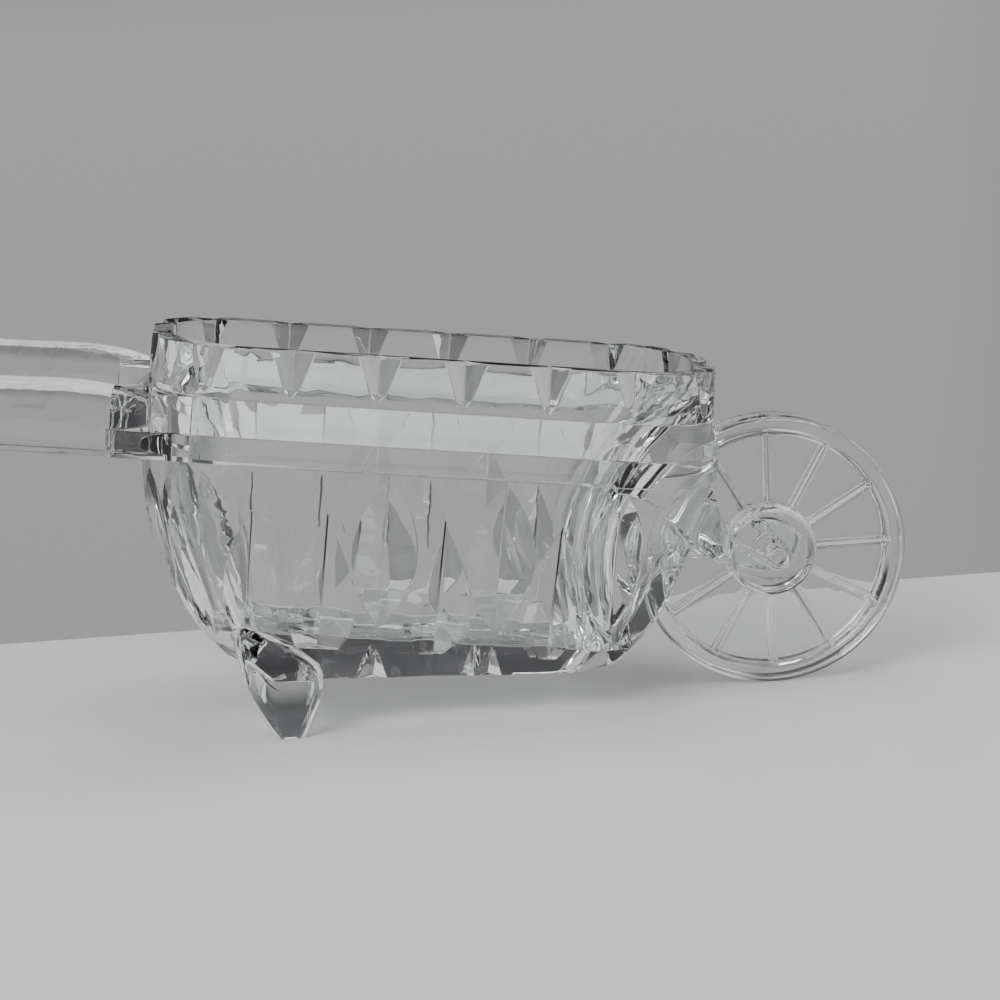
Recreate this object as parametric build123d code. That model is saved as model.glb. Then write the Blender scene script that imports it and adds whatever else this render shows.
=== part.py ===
from build123d import *
import os
from math import cos, degrees, radians, sin, sqrt

# A pressed crystal wheelbarrow dish: one glass pressing (tub, rail, handles, feet and fork) and
# one loose glass wheel, whose trunnions drop into the open hooks of the fork.
# Millimetres and degrees. +X points to the wheel, +Z up. The pressing is drawn level, with its
# rim at z = 0 and the middle of its rim at x = 0, and is then tipped onto its feet and wheel.

# --- tub, outside -------------------------------------------------------------------------
rim_length = 136.0
rim_width = 54.0
rim_corner = 20.0
waist_flare = 1.2        # each way; the widest outline, hidden behind the rail
waist_corner = 22.0
tub_depth = 82.5         # at the back of the base
base_rise = 7.0          # the base is this much shallower at its front
base_end_inset = 28.0    # the base's outline, in from the rim's
base_side_inset = 12.0
base_corner = 13.0
belly_bulge = 0.93       # 0 is a straight taper, 1 a full quarter ellipse
waist_length = rim_length + 2 * waist_flare
waist_width = rim_width + 2 * waist_flare
base_length = rim_length - 2 * base_end_inset
base_width = rim_width - 2 * base_side_inset

# --- stance -------------------------------------------------------------------------------
nose_down = 7.4
wheel_radius = 33.8
axle_past_nose = 19.3    # axle ahead of the rim's nose, along the rim
axle_above_base = 37.1    # over the back of the base
axle_ahead = rim_length / 2 + axle_past_nose
axle_below_rim = tub_depth - axle_above_base

# --- tub, inside --------------------------------------------------------------------------
rim_wall = 4.6
side_wall = 5.4
base_thickness = 13.5    # at the back
base_wall = 4.0
nose_wall = 4.4          # glass left between the dish and the wheel well

# --- rail ---------------------------------------------------------------------------------
rail_top = 12.0          # depth below the rim
rail_slant = 7.5         # height of its slanting top
rail_band = 6.5          # height of its upright edge
rail_side_overhang = 9.0
rail_back_overhang = 8.4
rail_nose_overhang = 2.0
rail_corner = 26.0
rail_edge = rail_top + rail_slant
rail_bottom = rail_edge + rail_band
rail_width = rim_width + 2 * rail_side_overhang
rail_rear = rim_length / 2 + rail_back_overhang    # from the middle of the rim
rail_front = rim_length / 2 + rail_nose_overhang

# --- cut pattern --------------------------------------------------------------------------
notch_pitch = 20.2       # V notches round the rim, measured along its outline
notch_width = 10.2
notch_height = 11.2
notch_depth = 3.0
cut_pitch = 13.9         # olive and spire cuts take turns along the side
rear_pitch = 8.9         # closer together behind the second spire from the middle
cut_shift = 3.4          # middle spire, ahead of the middle of the rim
side_cuts = 2            # cuts behind the middle spire before they draw closer together
olive_blade = 105.0      # radius of the V-edged wheel that the olives match
olive_width = 15.8
olive_depth = 3.0
olive_middle = rail_bottom + 21.0
spire_top = rail_bottom + 12.0
spire_bottom = tub_depth - 17.5
spire_width = 16.0
spire_depth = 2.8
spire_run_out = 7.0      # the groove fades this far below its widest place
scallop_radius = 90.0
scallop_bite = 1.0
scallop_rise = 4.0       # scallops are centred this far above the base
nick_height = 9.0        # V nicks in the base's edge, between the scallops
nick_width = 7.0
nick_depth = 2.0

# --- handles ------------------------------------------------------------------------------
handle_length = 47.0     # behind the rail
handle_width = 12.0
handle_inset = 1.0       # its outer face, in from the rail's side
handle_height = 16.2
grip_swell = 1.2         # size at the end over size at the root
handle_drop = 9.5        # top of the root below the rim
handle_flat = 0.46       # upright facet, as a share of the height
handle_slant = 0.68      # top of the slanted facet
root_block = 19.0        # square block at the rail's rear corner, from the rail's back
root_block_inset = 0.9   # its side, in from the rail's
handle_spread = rail_width - handle_width - 2 * handle_inset    # between their middles

# --- fork ---------------------------------------------------------------------------------
wheel_side_gap = 0.6
fork_plate = 5.0
trunnion_radius = 2.2
slot_clearance = 0.3
hook_thickness = 4.9
hook_round = 1.0         # on the outer edges of the fork arms
slot_half_width = trunnion_radius + slot_clearance
hook_crown = slot_half_width + 6.7  # axle up to the top of the hook
hook_radius = slot_half_width + hook_thickness

# --- wheel --------------------------------------------------------------------------------
ring_half = 4.7          # half thicknesses
web_half = 2.7
hub_half = 6.4
hub_radius = 10.9
ring_width = 3.7
ring_bevel = 0.9
trunnion_proud = 0.5     # past the outside of the fork
rib_count = 12
rib_width = 1.7
rib_rise = 1.0
well_gap = 1.5

# --- feet ---------------------------------------------------------------------------------
foot_from_back = 37.0    # tips ahead of the rim's back, along the rim
foot_out = 4.5           # their tips' middles, out from the base's side
foot_corner = 2.2
# level, how far behind and in from the tip, length along the tub, thickness
foot_sections = [
    (-1.5, 0.0, 0.0, 5.0, 4.8),
    (2.0, 0.0, 0.0, 9.4, 6.8),
    (7.0, 0.2, 0.1, 14.0, 9.0),
    (14.0, 0.5, 0.2, 18.2, 10.6),
    (21.0, 4.0, 0.8, 15.0, 9.6),
    (29.0, 7.6, 2.8, 8.0, 7.0),
]

stance = Pos(0, 0, wheel_radius) * Rot(0, nose_down, 0) * Pos(-axle_ahead, 0, axle_below_rim)


def blend(top, bottom, part_way):
    """Size part of the way down the belly, on its elliptical curve."""
    full = 1 - sqrt(1 - belly_bulge**2)
    return top + (bottom - top) * (1 - sqrt(1 - (belly_bulge * part_way) ** 2)) / full


def outline_sizes(depth):
    """Half length, half width and corner radius of the outside at a depth below the rim."""
    if depth <= rail_bottom:
        t = depth / rail_bottom
        length = rim_length + (waist_length - rim_length) * t
        width = rim_width + (waist_width - rim_width) * t
        return length / 2, width / 2, rim_corner + (waist_corner - rim_corner) * t
    t = (depth - rail_bottom) / (tub_depth - rail_bottom)
    half_length = blend(waist_length, base_length, t) / 2
    half_width = blend(waist_width, base_width, t) / 2
    return half_length, half_width, blend(waist_corner, base_corner, t)


def outline(depth):
    half_length, half_width, corner = outline_sizes(depth)
    return Pos(0, 0, -depth) * RectangleRounded(2 * half_length, 2 * half_width, corner)


def base_depth(x):
    """Depth of the sloping base below the rim."""
    return tub_depth - base_rise * (x / base_length + 0.5)


def tub_outside():
    """Upright collar over a rounded belly, trimmed to the sloping base."""
    fractions = (0, 0.25, 0.5, 0.7, 0.86, 1)
    depths = [rail_bottom + f * (tub_depth - rail_bottom) for f in fractions]
    collar = loft([outline(0), outline(rail_bottom)], ruled=True)
    belly = loft([outline(d) for d in depths])
    reach = rim_length
    trim = Polyline((-reach, -base_depth(-reach)), (reach, -base_depth(reach)),
                    (reach, -2 * tub_depth), (-reach, -2 * tub_depth), close=True)
    below = extrude(Plane.XZ * make_face(trim.edges()), amount=rim_width, both=True)
    return collar + belly - below


def nose_limit(depth):
    """How far forward the dish may reach, to leave glass behind the wheel well."""
    reach = wheel_radius + well_gap + nose_wall
    lift = abs(axle_below_rim - depth)
    if lift >= reach:
        return rim_length
    return axle_ahead - sqrt(reach**2 - lift**2)


def dish_section(depth, wall):
    """Inside outline: a wall's thickness in from the outside, and clear of the wheel well."""
    half_length, half_width, corner = outline_sizes(max(depth, 0))
    rear = -(half_length - wall)
    front = min(half_length - wall, nose_limit(depth))
    half_inside = half_width - wall
    radius = min(corner - wall / 2, half_inside - 1)
    section = RectangleRounded(front - rear, 2 * half_inside, radius)
    return Pos((front + rear) / 2, 0, -depth) * section


def dish():
    """The space that the tub holds."""
    floor_depth = tub_depth - base_thickness
    middle_depths = (rail_bottom, axle_below_rim, (axle_below_rim + floor_depth) / 2)
    sections = [dish_section(-1.0, rim_wall)]
    sections += [dish_section(d, side_wall) for d in middle_depths]
    sections += [dish_section(floor_depth, base_wall)]
    return loft(sections)


def corner_place(depth, toward_front, turn):
    """Point and outward direction on a rounded corner; turn is 0 at the side, 90 at the end."""
    half_length, half_width, corner = outline_sizes(depth)
    along = sin(radians(turn))
    across = -cos(radians(turn))
    x = toward_front * (half_length - corner + corner * along)
    y = -(half_width - corner) + corner * across
    return Vector(x, y, -depth), Vector(toward_front * along, across, 0)


def place_on_side(x, depth):
    return Vector(x, -outline_sizes(depth)[1], -depth), Vector(0, -1, 0)


def place_along(distance):
    """Upright line on the belly, this far along the near side from its middle, as a function
    of depth. Past the flat side it carries on round the corner."""
    half_length, _, corner = outline_sizes(olive_middle)
    past_flat = abs(distance) - (half_length - corner)
    if past_flat <= 0:
        return lambda depth: place_on_side(distance, depth)
    turn = degrees(past_flat / corner)
    return lambda depth: corner_place(depth, 1 if distance > 0 else -1, turn)


def true_slope(place_at, depth):
    """The surface's own outward direction there, and the direction straight down it."""
    outward = place_at(depth)[1]
    downhill = (place_at(depth + 1)[0] - place_at(depth - 1)[0]).normalized()
    return downhill.cross(Vector(0, 0, 1).cross(outward)).normalized(), downhill


def facing(point, outward):
    """Plane whose x axis runs along the outline, y uphill and z out of the glass."""
    along = Vector(0, 0, 1).cross(outward)
    return Plane(origin=point, x_dir=along, z_dir=outward)


def rim_point(distance):
    """Point on the rim's outline, measured from the middle of the nose round the near side."""
    half_length, half_width, corner = outline_sizes(0)
    flat_end = half_width - corner
    arc = radians(90) * corner
    side = 2 * (half_length - corner)
    if distance <= flat_end:
        return Vector(half_length, -distance, 0), Vector(1, 0, 0)
    if distance <= flat_end + arc:
        return corner_place(0, 1, 90 - degrees((distance - flat_end) / corner))
    past_nose = distance - flat_end - arc
    if past_nose <= side:
        return place_on_side(half_length - corner - past_nose, 0)
    past_side = past_nose - side
    if past_side <= arc:
        return corner_place(0, -1, degrees(past_side / corner))
    return Vector(-half_length, -flat_end + past_side - arc, 0), Vector(-1, 0, 0)


def v_notch(height, width, depth):
    """Cutter for a V notch: open at the top and front, and running out at a point below."""
    above = 1.0
    proud = 2.0
    grow = (height + above) / height
    half = width / 2 * grow * (1 + proud / depth)
    corners = [(0, -height, 0), (half, above, proud * grow), (-half, above, proud * grow)]
    return ConvexPolyhedron(corners + [(0, above, -depth * grow)])


def olive_cut(place_at):
    """Pointed oval left by a V-edged cutting wheel held upright against the glass."""
    outward, _ = true_slope(place_at, olive_middle)
    cone = olive_blade * (olive_width / 2) / olive_depth
    blade = Cone(olive_blade, 0, cone, align=(Align.CENTER, Align.CENTER, Align.MIN))
    blade += mirror(blade, Plane.XY)
    upright = Rot(0, 90, 0) * blade
    middle = facing(place_at(olive_middle)[0], outward)
    return middle * Pos(0, 0, olive_blade - olive_depth) * upright


def spire_cut(place_at):
    """Tall V groove with its point up, widest low down, where the belly turns under."""
    top, outward = place_at(spire_top)
    bottom, low_outward = place_at(spire_bottom)
    along = Vector(0, 0, 1).cross(outward)
    proud = 3.0
    half = spire_width / 2 * (1 + proud / spire_depth)
    floor = bottom - low_outward * spire_depth
    sides = [bottom + low_outward * proud + along * half * side for side in (-1, 1)]
    under = Vector(0, 0, -spire_run_out) - low_outward * spire_depth / 2
    corners = [top, floor, floor + under] + sides + [side + under for side in sides]
    return ConvexPolyhedron([tuple(corner) for corner in corners])


def base_scallop(place_at):
    """Long hollow facet, pointed at both ends, across the turned-under edge of the base."""
    depth = base_depth(place_at(tub_depth)[0].X) - scallop_rise
    outward, downhill = true_slope(place_at, depth)
    middle = place_at(depth)[0] + outward * (scallop_radius - scallop_bite)
    return Plane(origin=middle, x_dir=outward, z_dir=downhill) * Cylinder(scallop_radius, 16)


def base_nick(place_at):
    """V nick that opens at the base's edge and runs out up the belly."""
    edge_depth = base_depth(place_at(tub_depth)[0].X)
    outward, _ = true_slope(place_at, edge_depth - nick_height / 2)
    edge = facing(place_at(edge_depth - 0.5)[0], outward)
    return edge * Rot(0, 0, 180) * v_notch(nick_height, nick_width, nick_depth)


def belly_cuts():
    """Spires and olives take turns round the belly, each with its own mark on the base."""
    half_length, _, corner = outline_sizes(olive_middle)
    reach = half_length - corner + radians(90) * corner
    last_wide = cut_shift - side_cuts * cut_pitch
    front_count = int((reach - cut_shift) / cut_pitch)
    rear_count = int((reach + last_wide) / rear_pitch)
    forward = [cut_shift + step * cut_pitch for step in range(front_count + 1)]
    backward = [cut_shift - step * cut_pitch for step in range(1, side_cuts)]
    backward += [last_wide - step * rear_pitch for step in range(rear_count + 1)]
    spires = [place_along(x) for x in forward[::2] + backward[1::2]]
    olives = [place_along(x) for x in forward[1::2] + backward[::2]]
    cutters = [spire_cut(place) for place in spires] + [base_scallop(place) for place in spires]
    return cutters + [olive_cut(place) for place in olives] + [base_nick(place) for place in olives]


def both_sides(shape):
    return shape + mirror(shape, Plane.XZ)


def cut_pattern():
    """All the cuts: those of the near side, their mirror images and one in the nose."""
    cutters = belly_cuts()
    notch = v_notch(notch_height, notch_width, notch_depth)
    half_way = rim_length + rim_width + (radians(180) - 4) * rim_corner
    for step in range(1, round(half_way / notch_pitch)):
        cutters.append(facing(*rim_point(step * notch_pitch)) * notch)
    cutters += [mirror(cutter, Plane.XZ) for cutter in cutters]
    return cutters + [facing(*rim_point(0)) * notch]


def rail_section(inset):
    """Half section of the rail, its top slanting down from the collar to an upright edge."""
    side = rail_width / 2 - inset
    collar = outline_sizes(rail_top)[1] - inset
    inside = rim_width / 4
    corners = [(inside, -rail_bottom), (side, -rail_bottom), (side, -rail_edge),
               (collar, -rail_top), (inside, -rail_top)]
    return make_face(Polyline(*corners, close=True).edges())


def rail():
    length = rail_rear + rail_front
    middle = (rail_front - rail_rear) / 2
    lip = Pos(middle, 0, -rail_edge) * RectangleRounded(length, rail_width, rail_corner)
    band = extrude(lip, amount=rail_bottom - rail_edge, dir=(0, 0, -1))
    back = Plane(origin=(-rail_rear, 0, 0), x_dir=(0, 1, 0), z_dir=(1, 0, 0))
    block = extrude(back * rail_section(root_block_inset), amount=root_block)
    return loft([outline(rail_top), lip], ruled=True) + band + both_sides(block)


def handle_section(x, size):
    """Flat-sided below, one slanted facet each side, and a round back."""
    half = handle_width / 2 * size
    low = -handle_drop - handle_height
    high = low + handle_height * size
    flat = low + handle_flat * handle_height * size
    slant = low + handle_slant * handle_height * size
    line = Polyline((-half * 0.86, slant), (-half, flat), (-half, low), (half, low), (half, flat),
                    (half * 0.86, slant))
    back = ThreePointArc((half * 0.86, slant), (0, high), (-half * 0.86, slant))
    face = make_face(line.edges() + back.edges())
    return Plane(origin=(x, -handle_spread / 2, 0), x_dir=(0, -1, 0), z_dir=(-1, 0, 0)) * face


def handle():
    sizes = [(-9, 0.84), (0, 0.985), (12, 1.03), (handle_length, grip_swell)]
    body = loft([handle_section(-rail_rear - behind, size) for behind, size in sizes])
    end = body.faces().sort_by(Axis.X)[0]
    return fillet(end.edges(), 3.2)


def fork_side():
    """Side view of one fork arm, drawn about the axle: x forward, y up."""
    r = slot_half_width
    seat_in = (-r * cos(radians(30)), -r * sin(radians(30)))
    seat_out = (r * cos(radians(20)), r * sin(radians(20)))
    throat = Spline((-20.4, 24.8), (-15.5, 16.0), (-11.4, 6.6), (-4.7 - r, 1.8), seat_in)
    seat = ThreePointArc(seat_in, (0, -r), seat_out)
    lip = Spline(seat_out, (0.4, r + 1.4), (-4.4, r + 4.1))
    tip = ThreePointArc((-4.4, r + 4.1), (-5.7, r + 5.4), (-4.3, hook_crown - 0.2))
    crown = Spline((-4.3, hook_crown - 0.2), (1.4, hook_crown - 0.5), (hook_radius, 2.2),
                   (r + 1.5, -2.4 - r), (-2.6, -3.2 - r), (-12.0, 0.1 - r), (-20.0, 3.6))
    back = Polyline((-20.0, 3.6), (-30.0, 10.0), (-30.0, 24.8), (-20.4, 24.8))
    wires = [throat, seat, lip, tip, crown, back]
    return make_face([e for w in wires for e in w.edges()])


def shoulder():
    """Glass that flows from the rail's front corner round to the root of one fork arm."""
    inside = ring_half + wheel_side_gap + 2
    plan = make_face(
        Spline((-42, -33.6), (-30, -31.0), (-19.5, -23.5), (-13.6, -13.4), (-12.6, -inside)).edges()
        + Polyline((-12.6, -inside), (-42, -inside), (-42, -33.6)).edges()
    )
    side = make_face(
        Spline((-42, 32.0), (-27, 29.4), (-20.0, 24.6), (-15.5, 16.0), (-11.4, 6.6)).edges()
        + Polyline((-11.4, 6.6), (-14.0, 2.0)).edges()
        + Spline((-14.0, 2.0), (-21.0, 5.0), (-30, 16), (-42, 23)).edges()
        + Polyline((-42, 23), (-42, 32.0)).edges()
    )
    block = extrude(plan, amount=80, both=True)
    return block & extrude(Plane.XZ * side, amount=60, both=True)


def fork_arm():
    inner = hub_half + wheel_side_gap
    arm = extrude(Plane.XZ * fork_side(), amount=fork_plate)
    outer_face = arm.faces().sort_by(Axis.Y)[0]
    arm = Pos(0, -inner, 0) * fillet(outer_face.edges(), hook_round)
    return Pos(0, 0, wheel_radius) * (arm + shoulder())


def foot():
    """Tongue-shaped foot that grows out of the belly and is trimmed flat where it stands."""
    tip = (stance * Pos(foot_from_back - rim_length / 2, 0, -tub_depth)).position.X
    out = base_width / 2 + foot_out
    sections = []
    for level, behind, inward, length, thickness in foot_sections:
        shape = RectangleRounded(length, thickness, foot_corner)
        sections.append(Pos(tip - behind, inward - out, level) * shape)
    ground = Box(400, 400, 50, align=(Align.CENTER, Align.CENTER, Align.MAX))
    return loft(sections) - ground


def barrow():
    glass = tub_outside()
    glass -= cut_pattern()
    glass += rail()
    glass += both_sides(handle())
    glass = stance * glass
    glass += both_sides(fork_arm())
    glass += both_sides(foot())
    glass -= stance * dish()
    well = Rot(90, 0, 0) * Cylinder(wheel_radius + well_gap, 2 * (hub_half + wheel_side_gap))
    glass -= Pos(0, 0, wheel_radius) * well
    return glass


def wheel():
    """Disc with a raised ring and ribs on both faces, a round hub and its own trunnions."""
    trunnion_end = hub_half + wheel_side_gap + fork_plate + trunnion_proud
    ring_inside = wheel_radius - ring_width
    half_profile = Polyline(
        (0, 0),
        (wheel_radius, 0),
        (wheel_radius, ring_half - ring_bevel),
        (wheel_radius - ring_bevel, ring_half),
        (ring_inside, ring_half),
        (ring_inside - 1.0, web_half),
        (hub_radius + 0.6, web_half),
        (hub_radius, hub_half - 0.8),
        (hub_radius - 0.8, hub_half),
        (trunnion_radius, hub_half),
        (trunnion_radius, trunnion_end - 0.4),
        (trunnion_radius - 0.4, trunnion_end),
        (0, trunnion_end),
        close=True,
    )
    half = revolve(make_face(half_profile.edges()), axis=Axis.Y)
    rib_length = ring_inside - hub_radius + 1.2
    rib = ConvexPolyhedron(
        [
            (hub_radius - 0.6 + end * rib_length, web_half - 0.4 + up * (rib_rise + 0.4),
             side * rib_width * (0.5 if up == 0 else 0.22))
            for end in (0, 1) for up in (0, 1) for side in (-1, 1)
        ]
    )
    for turn in range(rib_count):
        half += Rot(0, turn * 360 / rib_count, 0) * rib
    return Pos(0, 0, wheel_radius) * (half + mirror(half, Plane.XZ))


pieces = {"barrow": barrow(), "wheel": wheel()}
box = Compound(children=[p.solid() for p in pieces.values()]).bounding_box()
centring = Pos(-(box.min.X + box.max.X) / 2, 0, 0)

os.makedirs("parts", exist_ok=True)
for name, piece in pieces.items():
    export_step(centring * piece.solid(), f"parts/{name}.step")
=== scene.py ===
"""Pressed crystal wheelbarrow dish: the looks of the glass pressing and its loose wheel."""

import math

import bmesh
import bpy
from mathutils import Matrix, Vector
from mathutils.bvhtree import BVHTree


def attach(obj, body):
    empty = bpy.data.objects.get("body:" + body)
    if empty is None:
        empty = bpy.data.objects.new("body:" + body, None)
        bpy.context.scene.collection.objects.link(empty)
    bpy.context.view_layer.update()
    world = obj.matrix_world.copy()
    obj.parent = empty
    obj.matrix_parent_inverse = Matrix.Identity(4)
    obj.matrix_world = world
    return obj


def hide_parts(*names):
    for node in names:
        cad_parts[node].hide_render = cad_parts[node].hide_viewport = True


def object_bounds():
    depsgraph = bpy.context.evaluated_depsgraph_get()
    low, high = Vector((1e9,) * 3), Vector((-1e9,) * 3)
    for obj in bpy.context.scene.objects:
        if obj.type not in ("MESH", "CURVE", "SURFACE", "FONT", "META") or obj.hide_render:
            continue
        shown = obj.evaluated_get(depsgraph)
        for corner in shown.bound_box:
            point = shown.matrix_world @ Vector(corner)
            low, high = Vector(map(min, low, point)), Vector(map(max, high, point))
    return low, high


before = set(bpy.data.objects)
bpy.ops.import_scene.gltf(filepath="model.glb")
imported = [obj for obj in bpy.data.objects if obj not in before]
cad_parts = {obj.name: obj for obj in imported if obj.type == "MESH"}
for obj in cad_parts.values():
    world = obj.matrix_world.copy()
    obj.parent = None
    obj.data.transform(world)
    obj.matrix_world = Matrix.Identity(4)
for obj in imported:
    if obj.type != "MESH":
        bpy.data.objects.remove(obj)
cad_box = [list(corner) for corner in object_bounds()]
back_of_dish = cad_box[1][1]

MM = 0.001
POLISH_MM = 0.25  # radius that fire-polishing leaves on a mould edge
STRAY_MM = 0.12  # a softened corner further off the moulded shape than this goes back to it
WELD_MM = 0.002  # mesh corners closer than this are one corner
MOULD_EDGE = math.radians(16)  # faces that turn by more than this meet at a mould edge

# The table top, in metres.
FLOOR_FRONT, FLOOR_BEHIND_DISH, FLOOR_HALF_WIDTH = -1.6, 0.055, 2.5

# The room: sky colours by height, from straight down (0) over the horizon (0.5) to straight up (1).
WINDOWS = 6
WINDOW_EDGE = (-0.1, 0.7)  # where a window starts and where it is full, on its cosine wave
WALL_BANDS = (
    (0.0, "#6c6c6d"), (0.22, "#838383"), (0.31, "#a3a2a1"), (0.49, "#aaa9a8"),
    (0.51, "#9a9999"), (0.57, "#38383a"), (0.80, "#606062"), (0.92, "#9a9a9c"),
)
WINDOW_BANDS = (
    (0.0, "#6c6c6d"), (0.22, "#787878"), (0.31, "#7e7e7e"), (0.49, "#828282"),
    (0.51, "#242426"), (0.57, "#eef0f2"), (0.84, "#ffffff"), (0.92, "#9a9a9c"),
)

# The camera: turned and tipped in radians, place in metres.
YAW, PITCH, ROLL = 0.083, 0.206, 0.052
LENS_MM, SENSOR_MM = 93.6, 36
CAMERA_PLACE = (-0.03281, -0.62631, 0.18188)


# --- small helpers ------------------------------------------------------------------------
def linear(hex_colour):
    """sRGB hex to the linear RGBA that Blender works in."""
    channels = [int(hex_colour[i : i + 2], 16) / 255 for i in (1, 3, 5)]
    return [c / 12.92 if c <= 0.04045 else ((c + 0.055) / 1.055) ** 2.4 for c in channels] + [1.0]


def node(tree, kind, settings=None, inputs=None):
    """Adds one shader node, sets its properties and sockets, and makes its links."""
    new = tree.nodes.new(kind)
    for name, value in (settings or {}).items():
        setattr(new, name, value)
    for name, value in (inputs or {}).items():
        if isinstance(value, bpy.types.NodeSocket):
            tree.links.new(value, new.inputs[name])
        else:
            new.inputs[name].default_value = value
    return new


def empty_material(name):
    material = bpy.data.materials.new(name)
    material.use_nodes = True
    material.node_tree.nodes.clear()
    return material, material.node_tree


# --- glass --------------------------------------------------------------------------------
def crystal(name, tint, ripple_mm, ripple_depth_mm):
    """Lead crystal, pressed and fire-polished: clear, very glossy, with faint slow ripples."""
    material, tree = empty_material(name)
    place = node(tree, "ShaderNodeTexCoord")
    ripple = node(
        tree,
        "ShaderNodeTexNoise",
        inputs={"Vector": place.outputs["Object"], "Scale": 1 / (ripple_mm * MM), "Detail": 1.0},
    )
    bump = node(
        tree,
        "ShaderNodeBump",
        inputs={"Height": ripple.outputs["Fac"], "Strength": 1.0, "Distance": ripple_depth_mm * MM},
    )
    glass = node(
        tree,
        "ShaderNodeBsdfPrincipled",
        inputs={
            "Base Color": linear(tint),
            "Roughness": 0.012,
            "IOR": 1.545,
            "Transmission Weight": 1.0,
            "Normal": bump.outputs["Normal"],
        },
    )
    node(tree, "ShaderNodeOutputMaterial", inputs={"Surface": glass.outputs["BSDF"]})
    return material


def glass_piece(cad_node, body, material):
    """A CAD node's own shape with its mould edges softened, as fire-polishing leaves them."""
    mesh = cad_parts[cad_node].data.copy()
    mesh.name = cad_node + "_glass"
    work = bmesh.new()
    work.from_mesh(mesh)
    bmesh.ops.remove_doubles(work, verts=work.verts, dist=WELD_MM * MM)
    moulded = BVHTree.FromBMesh(work)
    sharp = [edge for edge in work.edges if edge.calc_face_angle(0) > MOULD_EDGE]
    bmesh.ops.bevel(
        work,
        geom=sharp,
        offset=POLISH_MM * MM,
        offset_type="OFFSET",
        affect="EDGES",
        segments=2,
        profile=0.5,
        clamp_overlap=False,
        material=-1,
    )
    for corner in work.verts:
        surface, _, _, gap = moulded.find_nearest(corner.co)
        if gap > STRAY_MM * MM:
            corner.co = surface
    for face in work.faces:
        face.smooth = True
    work.to_mesh(mesh)
    work.free()
    mesh.materials.clear()
    mesh.materials.append(material)
    piece = bpy.data.objects.new(cad_node + "_glass", mesh)
    bpy.context.scene.collection.objects.link(piece)
    crisp = piece.modifiers.new("crisp_facets", "WEIGHTED_NORMAL")
    crisp.mode = "FACE_AREA"
    crisp.weight = 50
    crisp.keep_sharp = False
    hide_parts(cad_node)
    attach(piece, body)
    return piece


# --- stage --------------------------------------------------------------------------------
def matt(name, colour, roughness):
    """An opaque, evenly coloured sheet."""
    material, tree = empty_material(name)
    paint = node(
        tree,
        "ShaderNodeBsdfPrincipled",
        inputs={"Base Color": linear(colour), "Roughness": roughness},
    )
    node(tree, "ShaderNodeOutputMaterial", inputs={"Surface": paint.outputs["BSDF"]})
    return material


def stage():
    """A pale table top that ends just behind the dish, against the grey of the room."""
    work = bmesh.new()
    front_and_back = [
        work.verts.new((-FLOOR_HALF_WIDTH, y, 0))
        for y in (FLOOR_FRONT, back_of_dish + FLOOR_BEHIND_DISH)
    ]
    side = work.edges.new(front_and_back)
    wide = bmesh.ops.extrude_edge_only(work, edges=[side])
    moved = [v for v in wide["geom"] if isinstance(v, bmesh.types.BMVert)]
    bmesh.ops.translate(work, verts=moved, vec=(2 * FLOOR_HALF_WIDTH, 0, 0))
    mesh = bpy.data.meshes.new("floor")
    work.to_mesh(mesh)
    work.free()
    mesh.materials.append(matt("white_acrylic_sheet", "#f2f2f2", 0.35))
    floor = bpy.data.objects.new("floor", mesh)
    bpy.context.scene.collection.objects.link(floor)


def softbox(name, place, aim, size, watts):
    """A white rectangular lamp, place and size in metres."""
    light = bpy.data.lights.new(name, "AREA")
    light.shape = "RECTANGLE"
    light.size, light.size_y = size
    light.energy = watts
    lamp = bpy.data.objects.new(name, light)
    lamp.location = place
    lamp.rotation_euler = (Vector(aim) - Vector(place)).to_track_quat("-Z", "Y").to_euler()
    bpy.context.scene.collection.objects.link(lamp)


def height_bands(tree, height, stops):
    """A colour for each height of the sky, from straight down (0) to straight up (1)."""
    bands = node(tree, "ShaderNodeValToRGB", inputs={"Fac": height})
    ramp = bands.color_ramp
    while len(ramp.elements) < len(stops):
        ramp.elements.new(0.5)
    for element, (position, colour) in zip(ramp.elements, stops):
        element.position = position
        element.color = linear(colour)
    return bands.outputs["Color"]


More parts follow.
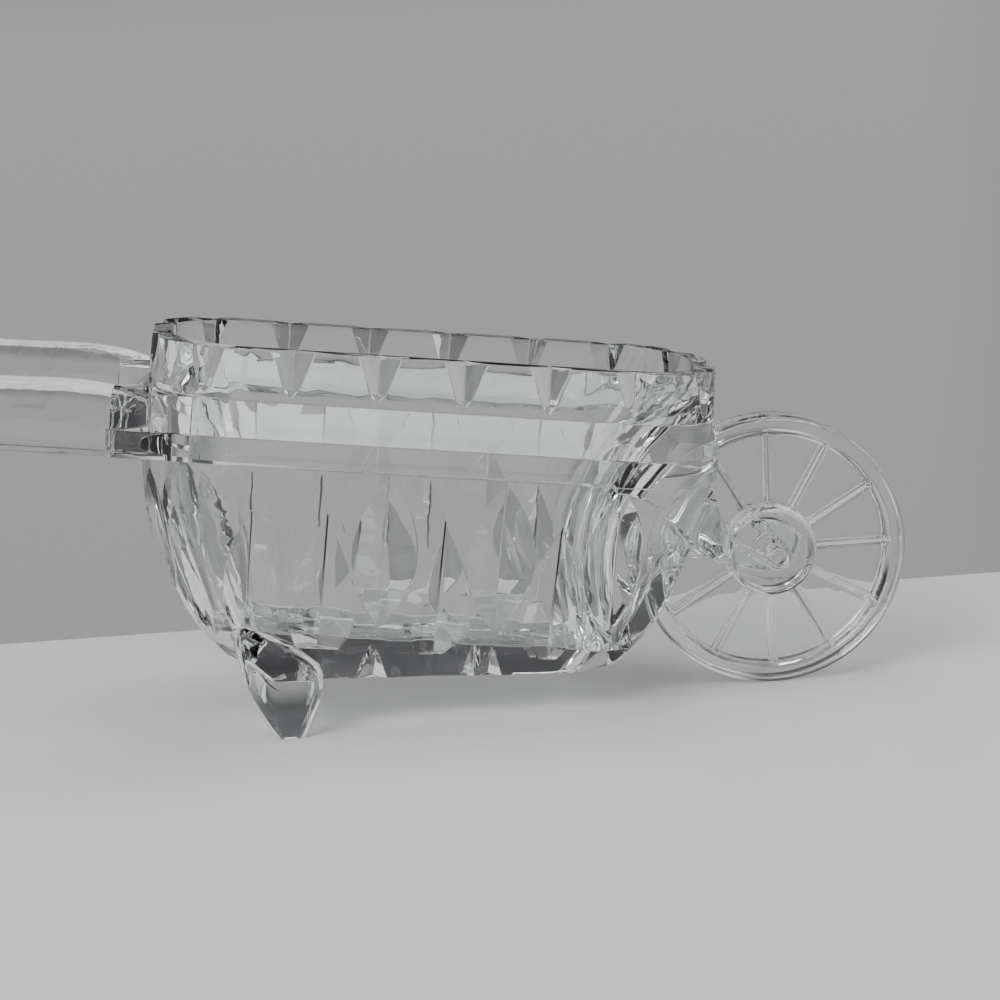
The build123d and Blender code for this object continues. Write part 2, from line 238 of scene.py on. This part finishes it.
def surroundings():
    """A grey room with six tall windows, a dark band under them and dark walls between."""
    world = bpy.data.worlds.new("room")
    bpy.context.scene.world = world
    world.use_nodes = True
    tree = world.node_tree
    tree.nodes.clear()
    place = node(tree, "ShaderNodeTexCoord")
    parts = node(tree, "ShaderNodeSeparateXYZ", inputs={"Vector": place.outputs["Generated"]})
    height = node(
        tree,
        "ShaderNodeMapRange",
        inputs={"Value": parts.outputs["Z"], "From Min": -1.0, "From Max": 1.0},
    ).outputs["Result"]
    turn = node(
        tree,
        "ShaderNodeMath",
        {"operation": "ARCTAN2"},
        {0: parts.outputs["Y"], 1: parts.outputs["X"]},
    ).outputs[0]
    turns = node(
        tree, "ShaderNodeMath", {"operation": "MULTIPLY"}, {0: turn, 1: WINDOWS}
    ).outputs[0]
    wave = node(tree, "ShaderNodeMath", {"operation": "COSINE"}, {0: turns}).outputs[0]
    window = node(
        tree,
        "ShaderNodeMapRange",
        {"interpolation_type": "SMOOTHSTEP"},
        {"Value": wave, "From Min": WINDOW_EDGE[0], "From Max": WINDOW_EDGE[1]},
    ).outputs["Result"]
    wall_first, window_last, colour_out = 6, 7, 2  # the mix node's colour sockets
    mixed = node(
        tree,
        "ShaderNodeMix",
        {"data_type": "RGBA"},
        {
            "Factor": window,
            wall_first: height_bands(tree, height, WALL_BANDS),
            window_last: height_bands(tree, height, WINDOW_BANDS),
        },
    ).outputs[colour_out]
    sky = node(tree, "ShaderNodeBackground", inputs={"Color": mixed, "Strength": 1.0})
    node(tree, "ShaderNodeOutputWorld", inputs={"Surface": sky.outputs["Background"]})


def camera():
    """Slightly above the rim, a little to the handle side of the middle, with a long lens."""
    level = math.cos(PITCH)
    ahead = Vector((math.sin(YAW) * level, math.cos(YAW) * level, -math.sin(PITCH)))
    right = Vector((math.cos(YAW), -math.sin(YAW), 0))
    down = ahead.cross(right).normalized()
    turned_right = right * math.cos(ROLL) + down * math.sin(ROLL)
    turned_down = down * math.cos(ROLL) - right * math.sin(ROLL)
    lens = bpy.data.cameras.new("camera")
    lens.lens = LENS_MM
    lens.sensor_width = SENSOR_MM
    lens.clip_start = 0.01
    viewer = bpy.data.objects.new("camera", lens)
    rows = Matrix((turned_right, -turned_down, -ahead)).transposed()
    viewer.matrix_world = Matrix.Translation(CAMERA_PLACE) @ rows.to_4x4()
    bpy.context.scene.collection.objects.link(viewer)
    bpy.context.scene.camera = viewer


barrow_glass = crystal("lead_crystal_pressed", "#fbfdfd", 8.0, 0.08)
wheel_glass = crystal("lead_crystal_pressed_wheel", "#fafdfb", 9.0, 0.05)
glass_piece("barrow", "barrow", barrow_glass)
glass_piece("wheel", "wheel", wheel_glass)
stage()
surroundings()
softbox("window", (-0.9, -0.9, 1.1), (0, 0, 0.05), (0.9, 0.9), 18)
softbox("overhead", (0.2, 0.1, 1.3), (0, 0, 0.05), (0.8, 0.5), 4)
softbox("fill", (1.2, -0.6, 0.5), (0, 0, 0.05), (0.5, 0.8), 4)
camera()
